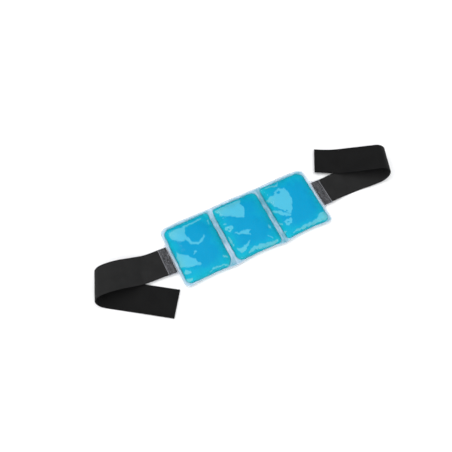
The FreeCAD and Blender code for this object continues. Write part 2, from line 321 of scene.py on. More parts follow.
class Webbing:
    """A folded strap. side is -1 at the left end of the pouch and 1 at the right. heading is its
    direction and bend_line that of its bends, in degrees. The profile is a list of (length, turn),
    and loop is the number of its big bend. sway moves the middle of the first run sideways, and
    over the shaped stretch fan turns the bend lines in plan and lift raises their near and far
    ends."""

    def __init__(self, side, heading, bend_line, profile, loop, sway=0.0, fan=0.0, lift=(0, 0),
                 shaped=(0, 1)):
        along = math.radians(bend_line)
        self.side, self.profile = side, profile
        self.forward = Vector((math.cos(math.radians(heading)), math.sin(math.radians(heading)), 0))
        self.sideways = Vector((-self.forward.y, self.forward.x, 0))
        self.along, self.bend_angle = Vector((math.cos(along), math.sin(along), 0)), along
        self.out = Vector((self.along.y, -self.along.x, 0)) * side
        self.lean = self.forward.dot(self.along) / self.forward.dot(self.out)
        self.span = STRAP_WIDTH / abs(self.forward.dot(self.out))
        self.sway, self.fan, self.lift, self.shaped = sway, math.radians(fan), lift, shaped
        self.loop_start = sum(length for length, turn in profile[:loop])
        length, turn = profile[loop]
        share = FOLD_HINGE_TURN / abs(turn)
        self.loop_middle = self.loop_start + length / 2
        self.first_hinge = self.loop_start + share * length
        self.second_hinge = self.loop_start + (1 - share) * length

    def height(self, place):
        """(distance out, height, slope angle) of the middle of the webbing at a profile place."""
        distance, level, slope = 0.0, WELD_Z, 0.0
        if place <= 0:
            return place, level, slope
        for length, turn in self.profile:
            part = min(place, length)
            turned = math.radians(turn) * part / length
            if turn == 0:
                distance += part * math.cos(slope)
                level += part * math.sin(slope)
            else:
                radius = length / math.radians(turn)
                distance += radius * (math.sin(slope + turned) - math.sin(slope))
                level -= radius * (math.cos(slope + turned) - math.cos(slope))
            slope += turned
            place -= part
            if place <= 0:
                break
        return distance, level, slope

    def folded(self, along, across, offset=0.0):
        """Where a point of the flat strap goes. offset is towards its front face."""
        flat = self.forward * along + self.sideways * across
        place = flat.dot(self.out)
        share = 0.5 + (flat.dot(self.along) - place * self.lean) / self.span
        distance, level, slope = self.height(place)
        centre = place * self.lean + self.sway * smooth_bump(place, 0, self.loop_start)
        shaping = smooth_bump(place, *self.shaped)
        turned = self.bend_angle + self.fan * shaping
        line = Vector((math.cos(turned), math.sin(turned), 0)) * (share - 0.5) * self.span
        normal = self.out * -math.sin(slope) + Vector((0, 0, math.cos(slope)))
        near_lift, far_lift = self.lift
        lifted = (near_lift + (far_lift - near_lift) * share) * shaping
        rise = Vector((self.side * STRAP_ROOT_X, 0, level + lifted))
        return rise + self.out * distance + self.along * centre + line + normal * offset

    def root_at(self, across):
        """How far along the strap its root edge lies, which is cut in line with the tab."""
        return -self.sideways.x * across / self.forward.x


def bend(radius, turn):
    """A profile bend of a given radius, with a turn above 0 upwards."""
    return radius * math.radians(abs(turn)), turn


def rise_over(radius, turn):
    """How far a bend that starts level climbs or falls."""
    return radius * (1 - math.cos(math.radians(turn)))


def slope_between(radius, turn, climb):
    """A bend, a slope and a bend back to level, which climb or fall by a given height."""
    sloped = (climb - 2 * rise_over(radius, turn)) / math.sin(math.radians(abs(turn)))
    return [bend(radius, turn), (sloped, 0), bend(radius, -turn)]


def left_webbing():
    """It sags from its tab, climbs over a tall loop and is folded under."""
    sag_level, climb_turn, climb_radius, climb_length = 5.3 * MM, 32.0, 30 * MM, 30.5 * MM
    crest_turn, crest_radius = 40.0, 49.5 * MM
    entry = climb_turn - crest_turn
    top = sag_level + rise_over(climb_radius, climb_turn)
    top += climb_length * math.sin(math.radians(climb_turn))
    top += rise_over(crest_radius, climb_turn) - rise_over(crest_radius, entry)
    radius = (top - FLOOR_LEVEL) / (1 + math.cos(math.radians(entry)))
    profile = [(22.5 * MM, 0)] + slope_between(35 * MM, -6.0, WELD_Z - sag_level)
    profile += [(6 * MM, 0), bend(climb_radius, climb_turn), (climb_length, 0)]
    profile += [bend(crest_radius, -crest_turn)]
    loop = len(profile)
    profile += [bend(radius, -180.0 - entry), (5 * MM, 0)]
    profile += slope_between(150 * MM, -2.0, PATCH_THICKNESS) + [(140 * MM, 0)]
    return Webbing(-1, 175.6, 70.2, profile, loop)


def right_webbing():
    """It drops from its tab to the floor, turns up in a loop and is folded over its own run."""
    floor_run, fall = 123.8 * MM, 18.4
    profile = [(20.5 * MM, 0)] + slope_between(60 * MM, -9.0, WELD_Z - FLOOR_LEVEL)
    profile += [(floor_run - sum(length for length, turn in profile), 0)]
    loop = len(profile)
    profile += [bend(15.1 * MM, 180.0 + fall), (59.5 * MM, 0), bend(100 * MM, -fall), (60 * MM, 0)]
    beyond = 80 * MM
    shaped = (floor_run - beyond, floor_run + profile[loop][0] + beyond)
    return Webbing(
        1, -2.0, 74.5, profile, loop, sway=3.4 * MM, fan=-5.8, lift=(4 * MM, 0), shaped=shaped
    )


webbings = {"left": left_webbing(), "right": right_webbing()}
for side_name, strap in webbings.items():
    end = strap.folded(STRAP_LENGTH, 0)
    print(side_name, "strap ends at", tuple(round(value / MM, 1) for value in end), "mm")

# %% [markdown]
# ## The webbing's finish
# Elastic webbing is woven: lengthwise cords in staggered rows on its smooth front, and a brushed
# pile on its back. The back's darker greys are partly the pile, which traps the light, and partly
# painted shade of the folded-back runs, which lie in the shade of the loops. The rows are a brick
# pattern on the strap's own flat map, so they bend with it.


# %% The webbing's finish
def webbing_finish(name, dark, light, row, fuzz):
    """Woven rows, row mm wide, between two greys. fuzz is the share of hairs in the relief."""
    material, tree, shader = finish_called(name, grey(light), 0.8)
    place = mapped(tree, "UV", (STRAP_LENGTH / MM, STRAP_WIDTH / MM, 1))
    weave = add(tree, "TexBrick", Vector=place, Scale=1.0, Mortar_Size=0.16, Mortar_Smooth=1.0,
                Brick_Width=2.2 * row, Row_Height=row)
    weave.offset = 0.5
    hairs = add(tree, "TexNoise", Vector=place, Scale=2.6, Detail=4.0)
    broad = add(tree, "TexNoise", Vector=place, Scale=0.045, Detail=2.0)
    threads = ramp(tree, weave.outputs["Fac"], [(0.0, grey(1.0)), (1.0, grey(0.35))])
    tone = ramp(tree, hairs.outputs["Fac"], [(0.3, grey(dark)), (0.7, grey(light))])
    tone = mixed(tree, 0.55, tone, threads, "MULTIPLY")
    patchy = ramp(tree, broad.outputs["Fac"], [(0.3, grey(0.86)), (0.7, grey(1.08))])
    height = mixed(tree, fuzz, threads, hairs.outputs["Color"])
    tone = mixed(tree, 1.0, tone, patchy, "MULTIPLY")
    paint(tree, shader, tone, bump(tree, height, 0.25 * MM, 0.7))
    shader.inputs["Sheen Weight"].default_value = 0.03
    shader.inputs["Sheen Roughness"].default_value = 0.5
    shader.inputs["Specular IOR Level"].default_value = 0.18
    return material


webbing_front = webbing_finish("woven_face", 0.013, 0.024, 1.3, 0.3)
# The back's darker greys are partly its pile and partly painted shade of the folded-back runs.
webbing_back = webbing_finish("brushed_back_and_painted_shade", 0.006, 0.011, 0.9, 0.75)

# %% [markdown]
# ## Cutting and folding each strap
# Each strap has two hinges in its fold, and one piece can only bend at one of them. So the flat
# strap is cut in two along the line that becomes the top of the loop, with bisect_plane, which is
# exact while the strap is flat. Both halves are folded by the same rule, so no gap opens at that
# line.

# %% Cut and fold the straps
SELVEDGE = 0.9 * MM
ROOT_EXTRA = 1.8 * MM
STRAP_COLUMNS, STRAP_ROWS = 230, 56
EDGE_CROWDING = 0.93
EDGE_SHARE_SQUARED = 0.12


def half_thickness(across):
    """Half the webbing's thickness, which rounds off over its selvedges to a blunt edge."""
    past = max(0.0, (abs(across) - (STRAP_WIDTH / 2 - SELVEDGE)) / SELVEDGE)
    return STRAP_THICKNESS / 2 * math.sqrt(max(EDGE_SHARE_SQUARED, 1 - past * past))


def ripple(along, across):
    """A slow unevenness of the webbing, and a tighter edge where the selvedge puckers."""
    slow = noise.noise(Vector((along * 22, across * 30, 1.7))) * 0.35 * MM
    near = smooth_step(abs(across), STRAP_WIDTH / 2 - 5 * MM, STRAP_WIDTH / 2)
    return slow + near * 0.12 * MM * noise.noise(Vector((along * 260, 3.1, 0.4)))


def strap_half(name, strap, root_side):
    """One half of a strap, cut at the middle of its loop and folded. Its rows crowd towards the
    selvedges, which need them to look round."""
    bm = flat_grid(STRAP_COLUMNS, STRAP_ROWS)
    crowd = math.sin(math.pi / 2 * EDGE_CROWDING)
    for vert in bm.verts:
        across = math.sin(vert.co.y * math.pi / 2 * EDGE_CROWDING) / crowd * STRAP_WIDTH / 2
        root = strap.root_at(across) - ROOT_EXTRA
        vert.co = (root + (vert.co.x + 1) / 2 * (STRAP_LENGTH - root), across, 0)
    normal = Vector((strap.forward.dot(strap.out), strap.sideways.dot(strap.out), 0))
    bmesh.ops.bisect_plane(
        bm, geom=bm.verts[:] + bm.edges[:] + bm.faces[:], dist=1e-7,
        plane_co=normal * strap.loop_middle, plane_no=normal,
        clear_outer=root_side, clear_inner=not root_side,
    )
    area = sum(face.calc_area() for face in bm.faces)
    thicken(bm)
    layer = bm.loops.layers.uv.new("flat")
    for face in bm.faces:
        face.material_index = 1 if face.calc_center_median().z < -0.9 else 0
        for loop in face.loops:
            loop[layer].uv = (loop.vert.co.x / STRAP_LENGTH, loop.vert.co.y / STRAP_WIDTH + 0.5)
    for vert in bm.verts:
        along, across, face_side = vert.co
        fade = smooth_step(along, 15 * MM, 40 * MM)
        offset = face_side * half_thickness(across) + ripple(along, across) * fade
        vert.co = strap.folded(along, across, offset)
    piece = finished(name, bm, webbing_front, webbing_back)
    return piece


def hinge_blend(piece, strap, first):
    """Looks up a fold hinge and the strap's direction there, then bakes the piece's placement into it.
    """
    place = strap.first_hinge if first else strap.second_hinge
    number = "first" if first else "second"
    joint = joints[("left" if strap.side < 0 else "right") + "_" + number + "_fold"]
    flat = strap.out * place + strap.along * place * strap.lean
    along, across = flat.dot(strap.forward), flat.dot(strap.sideways)
    ahead = strap.folded(along + MM, across) - strap.folded(along - MM, across)
    axis = Vector(joint["axis"]).normalized()
    ahead = (ahead - axis * ahead.dot(axis)).normalized()
    centre = strap.folded(along, across)
    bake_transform(piece)


for side_name, strap in webbings.items():
    root = strap_half(side_name + "_webbing_root", strap, True)
    tip = strap_half(side_name + "_webbing_tip", strap, False)
    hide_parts("strap_" + side_name + "_run", "strap_" + side_name + "_fold")
    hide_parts("strap_" + side_name + "_end")
    hinge_blend(root, strap, True)
    hinge_blend(tip, strap, False)

# %% [markdown]
# ## The hook patch
# The left strap's free end carries a square of hook tape, face down, sewn round with one row of
# stitches. Hook tape is a base with rows of small bent hooks. The hooks are one small shape,
# copied, and each has only a few faces because there are hundreds.

# %% The hook patch
PATCH_LENGTH, PATCH_WIDTH, PATCH_GAP = 50 * MM, 49 * MM, 1.5 * MM
BASE_THICKNESS, BASE_SUNK = 0.6 * MM, 0.05 * MM
HOOK_HEIGHT, HOOK_PITCH = 0.8 * MM, 2.3 * MM
HOOK_FOOT, HOOK_TIP, HOOK_BEND = 0.2 * MM, 0.12 * MM, 0.35 * MM
patch_middle = STRAP_LENGTH - PATCH_GAP - PATCH_LENGTH / 2
left = webbings["left"]
hook_finish, tree, shader = finish_called("hook_tape", grey(0.02), 0.45)
rows = add(tree, "TexNoise", Vector=mapped(tree, "Object", (900, 900, 900)), Scale=1.0)
paint(tree, shader, ramp(tree, rows.outputs["Fac"], [(0.3, grey(0.014)), (0.7, grey(0.03))]))
bm = flat_grid(24, 24)
for vert in bm.verts:
    vert.co = (patch_middle + vert.co.x * PATCH_LENGTH / 2, vert.co.y * PATCH_WIDTH / 2, 0)
thicken(bm)
for vert in bm.verts:
    vert.co.z = STRAP_THICKNESS / 2 + (BASE_THICKNESS if vert.co.z > 0 else -BASE_SUNK)
count = int(PATCH_LENGTH / HOOK_PITCH)
for row in range(count):
    for column in range(count):
        x = patch_middle + (row - (count - 1) / 2) * HOOK_PITCH
        y = (column - (count - 1) / 2) * HOOK_PITCH * PATCH_WIDTH / PATCH_LENGTH
        made = bmesh.ops.create_cone(
            bm, cap_ends=True, segments=4, radius1=HOOK_FOOT, radius2=HOOK_TIP, depth=HOOK_HEIGHT
        )["verts"]
        base = STRAP_THICKNESS / 2 + BASE_THICKNESS + HOOK_HEIGHT / 2
        bmesh.ops.transform(bm, matrix=Matrix.Translation((x, y, base)), verts=made)
        for vert in made:
            if vert.co.z > base:
                vert.co.x += HOOK_BEND * (1 if row % 2 else -1)
for vert in bm.verts:
    vert.co = left.folded(vert.co.x, vert.co.y, vert.co.z)
hook_patch = finished("hook_tape_patch", bm, hook_finish)
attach(hook_patch, "left_strap_end")
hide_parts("hook_patch")

# %% Its stitches
STITCH_LENGTH, STITCH_PITCH, STITCH_INSET = 2.4 * MM, 3.4 * MM, 2.5 * MM
THREAD_HALF_WIDTH, THREAD_HALF_HEIGHT = 0.27 * MM, 0.24 * MM
thread_finish, tree, shader = finish_called("black_thread", grey(0.008), 0.8)
twist = add(tree, "TexWave", Vector=mapped(tree, "Object", (1, 1, 1), 0.6), Scale=900.0)
paint(tree, shader, ramp(tree, twist.outputs["Fac"], [(0.0, grey(0.005)), (1.0, grey(0.011))]))
shader.inputs["Specular IOR Level"].default_value = 0.15
bm = bmesh.new()
half_length, half_width = PATCH_LENGTH / 2 - STITCH_INSET, PATCH_WIDTH / 2 - STITCH_INSET
for length, turn, away in ((2 * half_length, 0, half_width), (2 * half_width, 90, half_length)):
    number = int(length / STITCH_PITCH)
    for edge in (-1, 1):
        for index in range(number):
            made = bmesh.ops.create_uvsphere(bm, u_segments=8, v_segments=6, radius=1)["verts"]
            shape = Matrix.Diagonal((STITCH_LENGTH / 2, THREAD_HALF_WIDTH, THREAD_HALF_HEIGHT, 1))
            place = Vector(((index + 0.5) * length / number - length / 2, edge * away, 0))
            turned = Matrix.Rotation(math.radians(turn), 4, "Z") @ Matrix.Translation(place) @ shape
            bmesh.ops.transform(bm, matrix=turned, verts=made)
for vert in bm.verts:
    vert.co = left.folded(patch_middle + vert.co.x, vert.co.y, -STRAP_THICKNESS / 2 + vert.co.z)
stitches = finished("patch_stitches", bm, thread_finish)
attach(stitches, "left_strap_end")
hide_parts("hook_patch_stitching")

# %% [markdown]
# ## The cells
# A cell is a pocket of film filled with soft gel. It is steep at its welds, nearly level on top
# and flat where it lies on the floor. The corners of a grid are eased onto quarter circles, so
# that the pocket's outline is one smooth line and its rows still run straight across. No two
# corners are welded alike, so each has its own radius.

# %% Where the cells are
CELLS = ("left", "middle", "right")
FRONT_DEPTH, BACK_DEPTH = 11.6 * MM, 7.0 * MM
GEL_INSET = 0.5 * MM
GEL_RIM = 0.15 * MM
SEAM_X = abs(joints["left_seam"]["pos_m"][0])
TAB_X = abs(joints["left_tab"]["pos_m"][0])
HALF_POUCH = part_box("front_film_middle")[1].y
POUCH_CORNER = 12 * MM
WELD_WANDER, EDGE_WANDER = 0.9 * MM, 0.5 * MM
# A pocket's corner radii in mm. (-1, 1) is its far left corner and (1, -1) its near right one.
POCKET_CORNERS = {
    "left": {(-1, 1): 13, (1, 1): 7, (-1, -1): 11, (1, -1): 17},
    "middle": {(-1, 1): 6, (1, 1): 12, (-1, -1): 13, (1, -1): 9},
    "right": {(-1, 1): 6, (1, 1): 15, (-1, -1): 8, (1, -1): 13},
}
# How far a long edge curves in at a cell's middle, in mm: first the pouch's, then the pocket's.
NEAR_DIPS = {"left": (2.8, 0.4), "middle": (4.0, 1.0), "right": (4.6, 1.8)}
FAR_DIPS = (-1.2, 0.0)
FLANGE_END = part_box("front_film_right")[1].x
pockets = {}
for cell in CELLS:
    low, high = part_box("gel_" + cell)
    pockets[cell] = (low.x - GEL_INSET, high.x + GEL_INSET, low.y - GEL_INSET, high.y + GEL_INSET)
    print(cell, "pocket", tuple(round(value / MM, 1) for value in pockets[cell]), "mm")


def eased(u, v, half_x, half_y, corner):
    """The place of grid point (u, v) on a rectangle with quarter-circle corners."""
    start_u, start_v = 1 - corner / half_x, 1 - corner / half_y
    part_u = max(0.0, (abs(u) - start_u) / (1 - start_u))
    part_v = max(0.0, (abs(v) - start_v) / (1 - start_v))
    x = abs(u) * half_x if part_u == 0 else half_x - corner + corner * part_u * math.sqrt(
        max(0.0, 1 - min(1.0, part_v) ** 2 / 2))
    y = abs(v) * half_y if part_v == 0 else half_y - corner + corner * part_v * math.sqrt(
        max(0.0, 1 - min(1.0, part_u) ** 2 / 2))
    return math.copysign(x, u), math.copysign(y, v)


def pocket_point(cell, u, v):
    """A pocket's plan: its long edges dip between the seams, and its weld isn't quite straight."""
    x0, x1, y0, y1 = pockets[cell]
    corner = POCKET_CORNERS[cell][(-1 if u < 0 else 1, -1 if v < 0 else 1)] * MM
    x, y = eased(u, v, (x1 - x0) / 2, (y1 - y0) / 2, corner)
    edge = max(abs(u), abs(v)) ** 6
    dip = (NEAR_DIPS[cell] if v < 0 else FAR_DIPS)[1] * MM
    y -= dip * math.cos(math.pi / 2 * u) * edge * (-1 if v < 0 else 1)
    x += (x0 + x1) / 2
    uneven = Vector((x * 70, y * 70, 5.2))
    x += edge * WELD_WANDER * noise.noise(uneven)
    y += edge * WELD_WANDER * noise.noise(uneven + Vector((0, 0, 9)))
    return x, y


# %% [markdown]
# ## Air under the film, and painted highlights
# A gel never fills its pocket exactly, and where a thin layer of air lies between film and gel,
# the gel sits a little lower. The same places get a paler gel colour with a crisp edge. That colour is
# a painted highlight, which paints the reflection of the softbox behind on the left into the gel.
# Each patch has a few corners or is a streak of round spots, drawn on the wrap in millimetres.
# A dark spot is a place inside such a patch that keeps the deep colour, where the gel still
# touches the film.

# %% Air pockets
# Places where air lies under the film and where the gel is painted paler as a highlight, in mm.
AIR_AND_HIGHLIGHT_PATCHES = {
    "left": [
        [(-132, 47), (-120, 46), (-102, 45), (-92, 46), (-103, 40), (-107, 31), (-106, 21), (-113, 18),
         (-125, 24), (-132, 32)],
        [(-134, 7), (-129, 0), (-119, -9), (-110, -20), (-105, -34), (-119, -31), (-133, -26),
         (-139, -22), (-137, -8)],
    ],
    "middle": [
        [(-40, 50), (-16, 51), (12, 49), (7, 40), (9, 30), (2, 13), (-8, 17), (-22, 26), (-36, 35),
         (-35, 41)],
        [(-30, -7), (-15, -9), (0, -13), (-4, -17), (-3, -23), (-16, -15)],
        [(-38, -33), (-30, -37), (-20, -35), (-8, -31), (-18, -41), (-33, -45)],
    ],
    "right": [
        [(54, 27), (64, 30), (70, 29), (74, 35), (81, 38), (93, 34), (96, 19), (93, 3), (86, -10),
         (79, -17), (75, -13), (70, -6), (60, 8), (57, 18)],
        [(60, -25), (68, -23), (76, -25), (73, -33), (66, -36), (62, -31)],
    ],
}
AIR_AND_HIGHLIGHT_STREAKS = {
    "left": [
        [(-104, 45, 1.4), (-92, 44, 1.7), (-80, 45, 1.5), (-69, 47, 0.9)],
        [(-107, 19, 3.0), (-103, 9, 3.2), (-95, 4, 2.6), (-87, 4, 2.2), (-82, 8, 1.8), (-77, 12, 1.2)],
        [(-105, -9, 2.2), (-108, -13, 1.2)],
        [(-133, -35, 3.6), (-128, -38, 2.6)],
        [(-137, -49, 3.6), (-130, -50, 2.0)],
        [(-96, -51, 0.7), (-85, -49, 1.2), (-72, -50, 1.3), (-62, -53, 0.8)],
        [(-62, -36, 1.6), (-58, -38, 1.2)],
        [(-58, 38, 1.4), (-60, 31, 1.0)],
    ],
    "middle": [
        [(-35, 7, 3.6), (-29, 5, 4.2), (-33, 1, 2.6)],
        [(-36, 18, 1.5), (-34, 15, 0.9)],
        [(-40, -8, 1.0), (-40, -17, 1.6), (-39, -26, 1.2)],
        [(-20, -50, 1.8), (-8, -47, 3.2), (6, -48, 3.4), (20, -51, 3.0), (33, -51, 2.2)],
        [(34, -18, 1.2), (33, -24, 1.5)],
        [(22, -36, 0.8), (28, -44, 1.2)],
    ],
    "right": [
        [(62, 50, 1.2), (73, 49, 1.8), (82, 45, 2.0), (87, 49, 0.9)],
        [(54, 3, 1.2), (61, -3, 2.6), (67, -12, 4.0), (76, -18, 2.6)],
        [(54, -41, 3.0), (52, -46, 1.6)],
        [(53, -20, 1.0), (55, -27, 1.3)],
        [(68, -50, 0.9), (86, -49, 2.0), (104, -49, 3.0), (121, -47, 4.6), (131, -45, 7.0)],
    ],
}
DARK_SPOTS = {
    "left": [(-94, 26, 5.0)],
    "middle": [(-33, 5, 1.5)],
    "right": [(79, 31, 3.0), (75, -9, 1.6), (65, -1, 1.2), (68, -29, 1.6)],
}
for cell in CELLS:
    print(cell, "cell:", len(AIR_AND_HIGHLIGHT_PATCHES[cell]), "air patches,", len(AIR_AND_HIGHLIGHT_STREAKS[cell]), "streaks")


def patch_distance(x, y, corners):
    """The distance from a point to a patch's edge, below 0 inside it."""
    nearest, inside = 1e9, False
    for (ax, ay), (bx, by) in zip(corners, corners[1:] + corners[:1]):
        dx, dy = bx - ax, by - ay
        share = min(1.0, max(0.0, ((x - ax) * dx + (y - ay) * dy) / (dx * dx + dy * dy)))
        nearest = min(nearest, math.hypot(x - ax - share * dx, y - ay - share * dy))
        if (ay > y) != (by > y) and x < ax + (y - ay) * dx / dy:
            inside = not inside
    return -nearest if inside else nearest


def streak_distance(x, y, spots):
    """The distance from a point to a streak's edge, below 0 inside it."""
    nearest = 1e9
    for (ax, ay, ar), (bx, by, br) in zip(spots, spots[1:]):
        dx, dy = bx - ax, by - ay
        share = min(1.0, max(0.0, ((x - ax) * dx + (y - ay) * dy) / (dx * dx + dy * dy)))
        away = math.hypot(x - ax - share * dx, y - ay - share * dy)
        nearest = min(nearest, away - (ar + share * (br - ar)))
    return nearest


def air_and_highlight(cell, x, y):
    """How much air lies between the film and the gel, from 0 to 1, which is also the gel's painted
    highlight.
    """
    x, y = x / MM, y / MM
    wobble = Vector((x * 0.16, y * 0.16, 3.3))
    other = wobble + Vector((7, 0, 0))
    x += 2.2 * noise.noise(wobble) + 1.3 * noise.noise(wobble * 3) + 0.9 * noise.noise(wobble * 7)
    y += 2.2 * noise.noise(other) + 1.3 * noise.noise(other * 3) + 0.9 * noise.noise(other * 7)
    away = min(patch_distance(x, y, patch) for patch in AIR_AND_HIGHLIGHT_PATCHES[cell])
    away = min(away, min(streak_distance(x, y, streak) for streak in AIR_AND_HIGHLIGHT_STREAKS[cell]))
    for spot_x, spot_y, radius in DARK_SPOTS[cell]:
        away = max(away, radius - math.hypot(x - spot_x, y - spot_y))
    return 1 - smooth_step(away, -0.7, 0.5)


# %% [markdown]
# ## Relief of the film
# Film that is welded flat round a filled pocket has more length than it needs, so it puckers at
# right angles to the weld, and the gel under it is lumpy. Both are smooth noise: the puckers are
# noise stretched away from the nearest edge, and they fade towards the middle of the cell. The
# numbers that a place is multiplied by say how fine the noise is, roughly in lumps per metre.


# %% Relief of the film
LUMP, SMALL_LUMP = 1.1 * MM, 0.35 * MM
PUCKER, CRUMPLE = 1.1 * MM, 0.25 * MM
FLOOR_GAP = 0.02 * MM


def relief(x, y, u, v):
    """How far the film stands above its plain pillow shape."""
    near_x = math.exp(-(1 - abs(u)) * 5.5)
    near_y = math.exp(-(1 - abs(v)) * 6.5)
    lumps = noise.noise(Vector((x * 34, y * 34, 0.5))) * LUMP
    lumps += noise.noise(Vector((x * 90, y * 90, 4.5))) * SMALL_LUMP
    puckers = near_y * noise.noise(Vector((x * 230, y * 45, 1.5)))
    puckers += near_x * noise.noise(Vector((x * 45, y * 230, 2.5)))
    crumple = noise.hetero_terrain(Vector((x * 120, y * 120, 7.5)), 0.8, 2.1, 3, 0.4)
    return lumps + puckers * PUCKER + (near_x + near_y) * crumple * CRUMPLE


def fullness(u, v):
    """The share of the full depth at a grid point: steep at the welds and level in the middle."""
    return ((1 - abs(u) ** 3.2) * (1 - abs(v) ** 3.6)) ** 0.55


def pocket_place(cell, u, v, face_side, inset):
    """Where a grid point of a cell's film goes, or of its gel, which is set in a little."""
    x, y = pocket_point(cell, u, v)
    full = fullness(u, v)
    if inset:
        x0, x1, y0, y1 = pockets[cell]
        x -= GEL_RIM * (x - (x0 + x1) / 2) / ((x1 - x0) / 2)
        y -= GEL_RIM * (y - (y0 + y1) / 2) / ((y1 - y0) / 2)
    if face_side < 0:
        return Vector((x, y, max(inset * full + FLOOR_GAP, WELD_Z - (BACK_DEPTH - inset) * full)))
    rise = (FRONT_DEPTH - inset) * full + relief(x, y, u, v) * smooth_step(full, 0.0, 0.5)
    return Vector((x, y, WELD_Z + max(0.0, rise)))


# %% [markdown]
# ## Gel and film finishes
# The gel is a saturated blue that turns teal where it is thin, because thin gel hides less of
# the light that comes back through it. The film is clear: it passes what is behind it and mirrors
# a little, more at a glancing angle. A Fresnel node gives that share.

# %% Gel finish
GEL_DEEP, GEL_MID, GEL_TEAL = (0.002, 0.30, 0.51), (0.003, 0.36, 0.52), (0.004, 0.40, 0.52)
GEL_THIN, GEL_THINNEST = (0.016, 0.45, 0.54), (0.09, 0.53, 0.60)
# The two paler blues are painted highlight: the softbox's reflection on the film, painted into the
# gel.
GEL_PAINTED_HIGHLIGHT, GEL_PAINTED_HIGHLIGHT_TEAL = (0.080, 0.45, 0.60), (0.13, 0.50, 0.55)
gel_finish, tree, shader = finish_called("blue_gel", GEL_MID, 0.4)
depth = add(tree, "Attribute", attribute_name="depth").outputs["Fac"]
painted_highlight_share = add(tree, "Attribute", attribute_name="air_and_highlight").outputs["Fac"]
cloud = add(tree, "TexNoise", Vector=mapped(tree, "Object", (24, 24, 24)), Scale=1.0, Detail=2.0)
crinkle = add(tree, "TexNoise", Vector=mapped(tree, "Object", (110, 110, 110)), Scale=1.0, Detail=3.0)

cloudy = weighted(tree, (depth, 0.72), (cloud.outputs["Fac"], 0.25), (crinkle.outputs["Fac"], 0.26))
blue = ramp(tree, cloudy, [
    (0.24, GEL_THINNEST), (0.34, GEL_THIN), (0.55, GEL_TEAL), (0.75, GEL_MID), (0.92, GEL_DEEP),
])
# Painted highlight: where air lies under the film, the gel gets the paler blues.
pale = ramp(tree, cloudy, [(0.5, GEL_PAINTED_HIGHLIGHT_TEAL), (0.9, GEL_PAINTED_HIGHLIGHT)])
paint(tree, shader, mixed(tree, painted_highlight_share, blue, pale))
shader.inputs["Specular IOR Level"].default_value = 0.1

# %% Film finish
film_finish, tree, shader = finish_called("clear_film", (0.9, 0.94, 0.96), 0.05)
tree.nodes.remove(shader)
gloss = add(tree, "BsdfGlossy", Color=(1, 1, 1, 1), Roughness=0.035)
share = add(tree, "Fresnel", IOR=1.17)
partly_clear(tree, share.outputs[0], gloss.outputs[0], (0.97, 0.99, 1.0))

# %% Make the cells
CELL_COLUMNS, CELL_ROWS = 108, 134
AIR_DEPTH = 0.35 * MM


def cell_piece(name, cell, inset, material):
    """A closed pillow for a cell's film or gel, with the gel's depth and its air, which also marks its
    painted highlight, kept on its points.
    """
    bm = flat_grid(CELL_COLUMNS, CELL_ROWS)
    thicken(bm)
    depth_layer = bm.verts.layers.float.new("depth")
    air_and_highlight_layer = bm.verts.layers.float.new("air_and_highlight")
    for vert in bm.verts:
        u, v, face_side = vert.co
        place = pocket_place(cell, u, v, face_side, inset)
        vert[depth_layer] = fullness(u, v)
        # Air lowers the gel a little here, and the same value paints the highlight into the gel's
        # colour.
        if inset and face_side > 0:
            vert[air_and_highlight_layer] = air_and_highlight(cell, place.x, place.y)
            place.z -= AIR_DEPTH * vert[air_and_highlight_layer] * smooth_step(fullness(u, v), 0.1, 0.4)
        vert.co = place
    return finished(name, bm, material)


for cell in CELLS:
    gel = cell_piece("gel_fill_" + cell, cell, GEL_INSET, gel_finish)
    film = cell_piece("film_pocket_" + cell, cell, 0.0, film_finish)
    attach(gel, cell + "_cell")
    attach(film, cell + "_cell")
    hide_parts("gel_" + cell)
    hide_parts("front_film_" + cell, "back_film_" + cell)

# %% [markdown]
# ## The welds
# Round each pocket the two films are welded into one frosted band. The band is a frame-shaped
# grid: a grid with its middle deleted, whose inner edge is tucked a little under the pocket and
# whose outer edge is the pouch's. Each seam is also a hinge, and the middle cell's band is cut in
# two at its middle. The cut edge of the film catches the light, so its finish has a paler rim.

# %% Weld finish
weld_finish, tree, shader = finish_called("frosted_weld", (0.60, 0.70, 0.80), 0.3)
knurl = add(tree, "TexVoronoi", Vector=mapped(tree, "Object", (750, 750, 750)), Scale=1.0)
streaks = add(tree, "TexNoise", Vector=mapped(tree, "Object", (90, 40, 60)), Scale=1.0, Detail=4.0)
tint = ramp(tree, streaks.outputs["Fac"], [(0.35, (0.16, 0.46, 0.58)), (0.65, (0.50, 0.66, 0.80))])
rim = add(tree, "Attribute", attribute_name="rim").outputs["Fac"]
tint = mixed(tree, rim, tint, (0.72, 0.80, 0.86))
paint(tree, shader, tint, bump(tree, knurl.outputs["Distance"], 0.12 * MM, 0.5))
haze = ramp(tree, streaks.outputs["Fac"], [(0.25, grey(0.55)), (0.75, grey(0.8))])
partly_clear(tree, mixed(tree, rim, haze, grey(0.35)), shader.outputs[0], (0.93, 0.97, 1.0))

# %% Make the welds
BAND_CELLS = 7
WELD_HALF = 0.4 * MM
TUCK = 0.9 * MM
RUFFLE, SWELL = 0.5 * MM, 0.7 * MM
THIN_EDGE, THIN_REACH = 0.4, 1.5 * MM
RIM_START, RIM_END = 0.3 * MM, 3.0 * MM
SHARP_CORNER = 0.01 * MM
ON_EDGE = 0.999


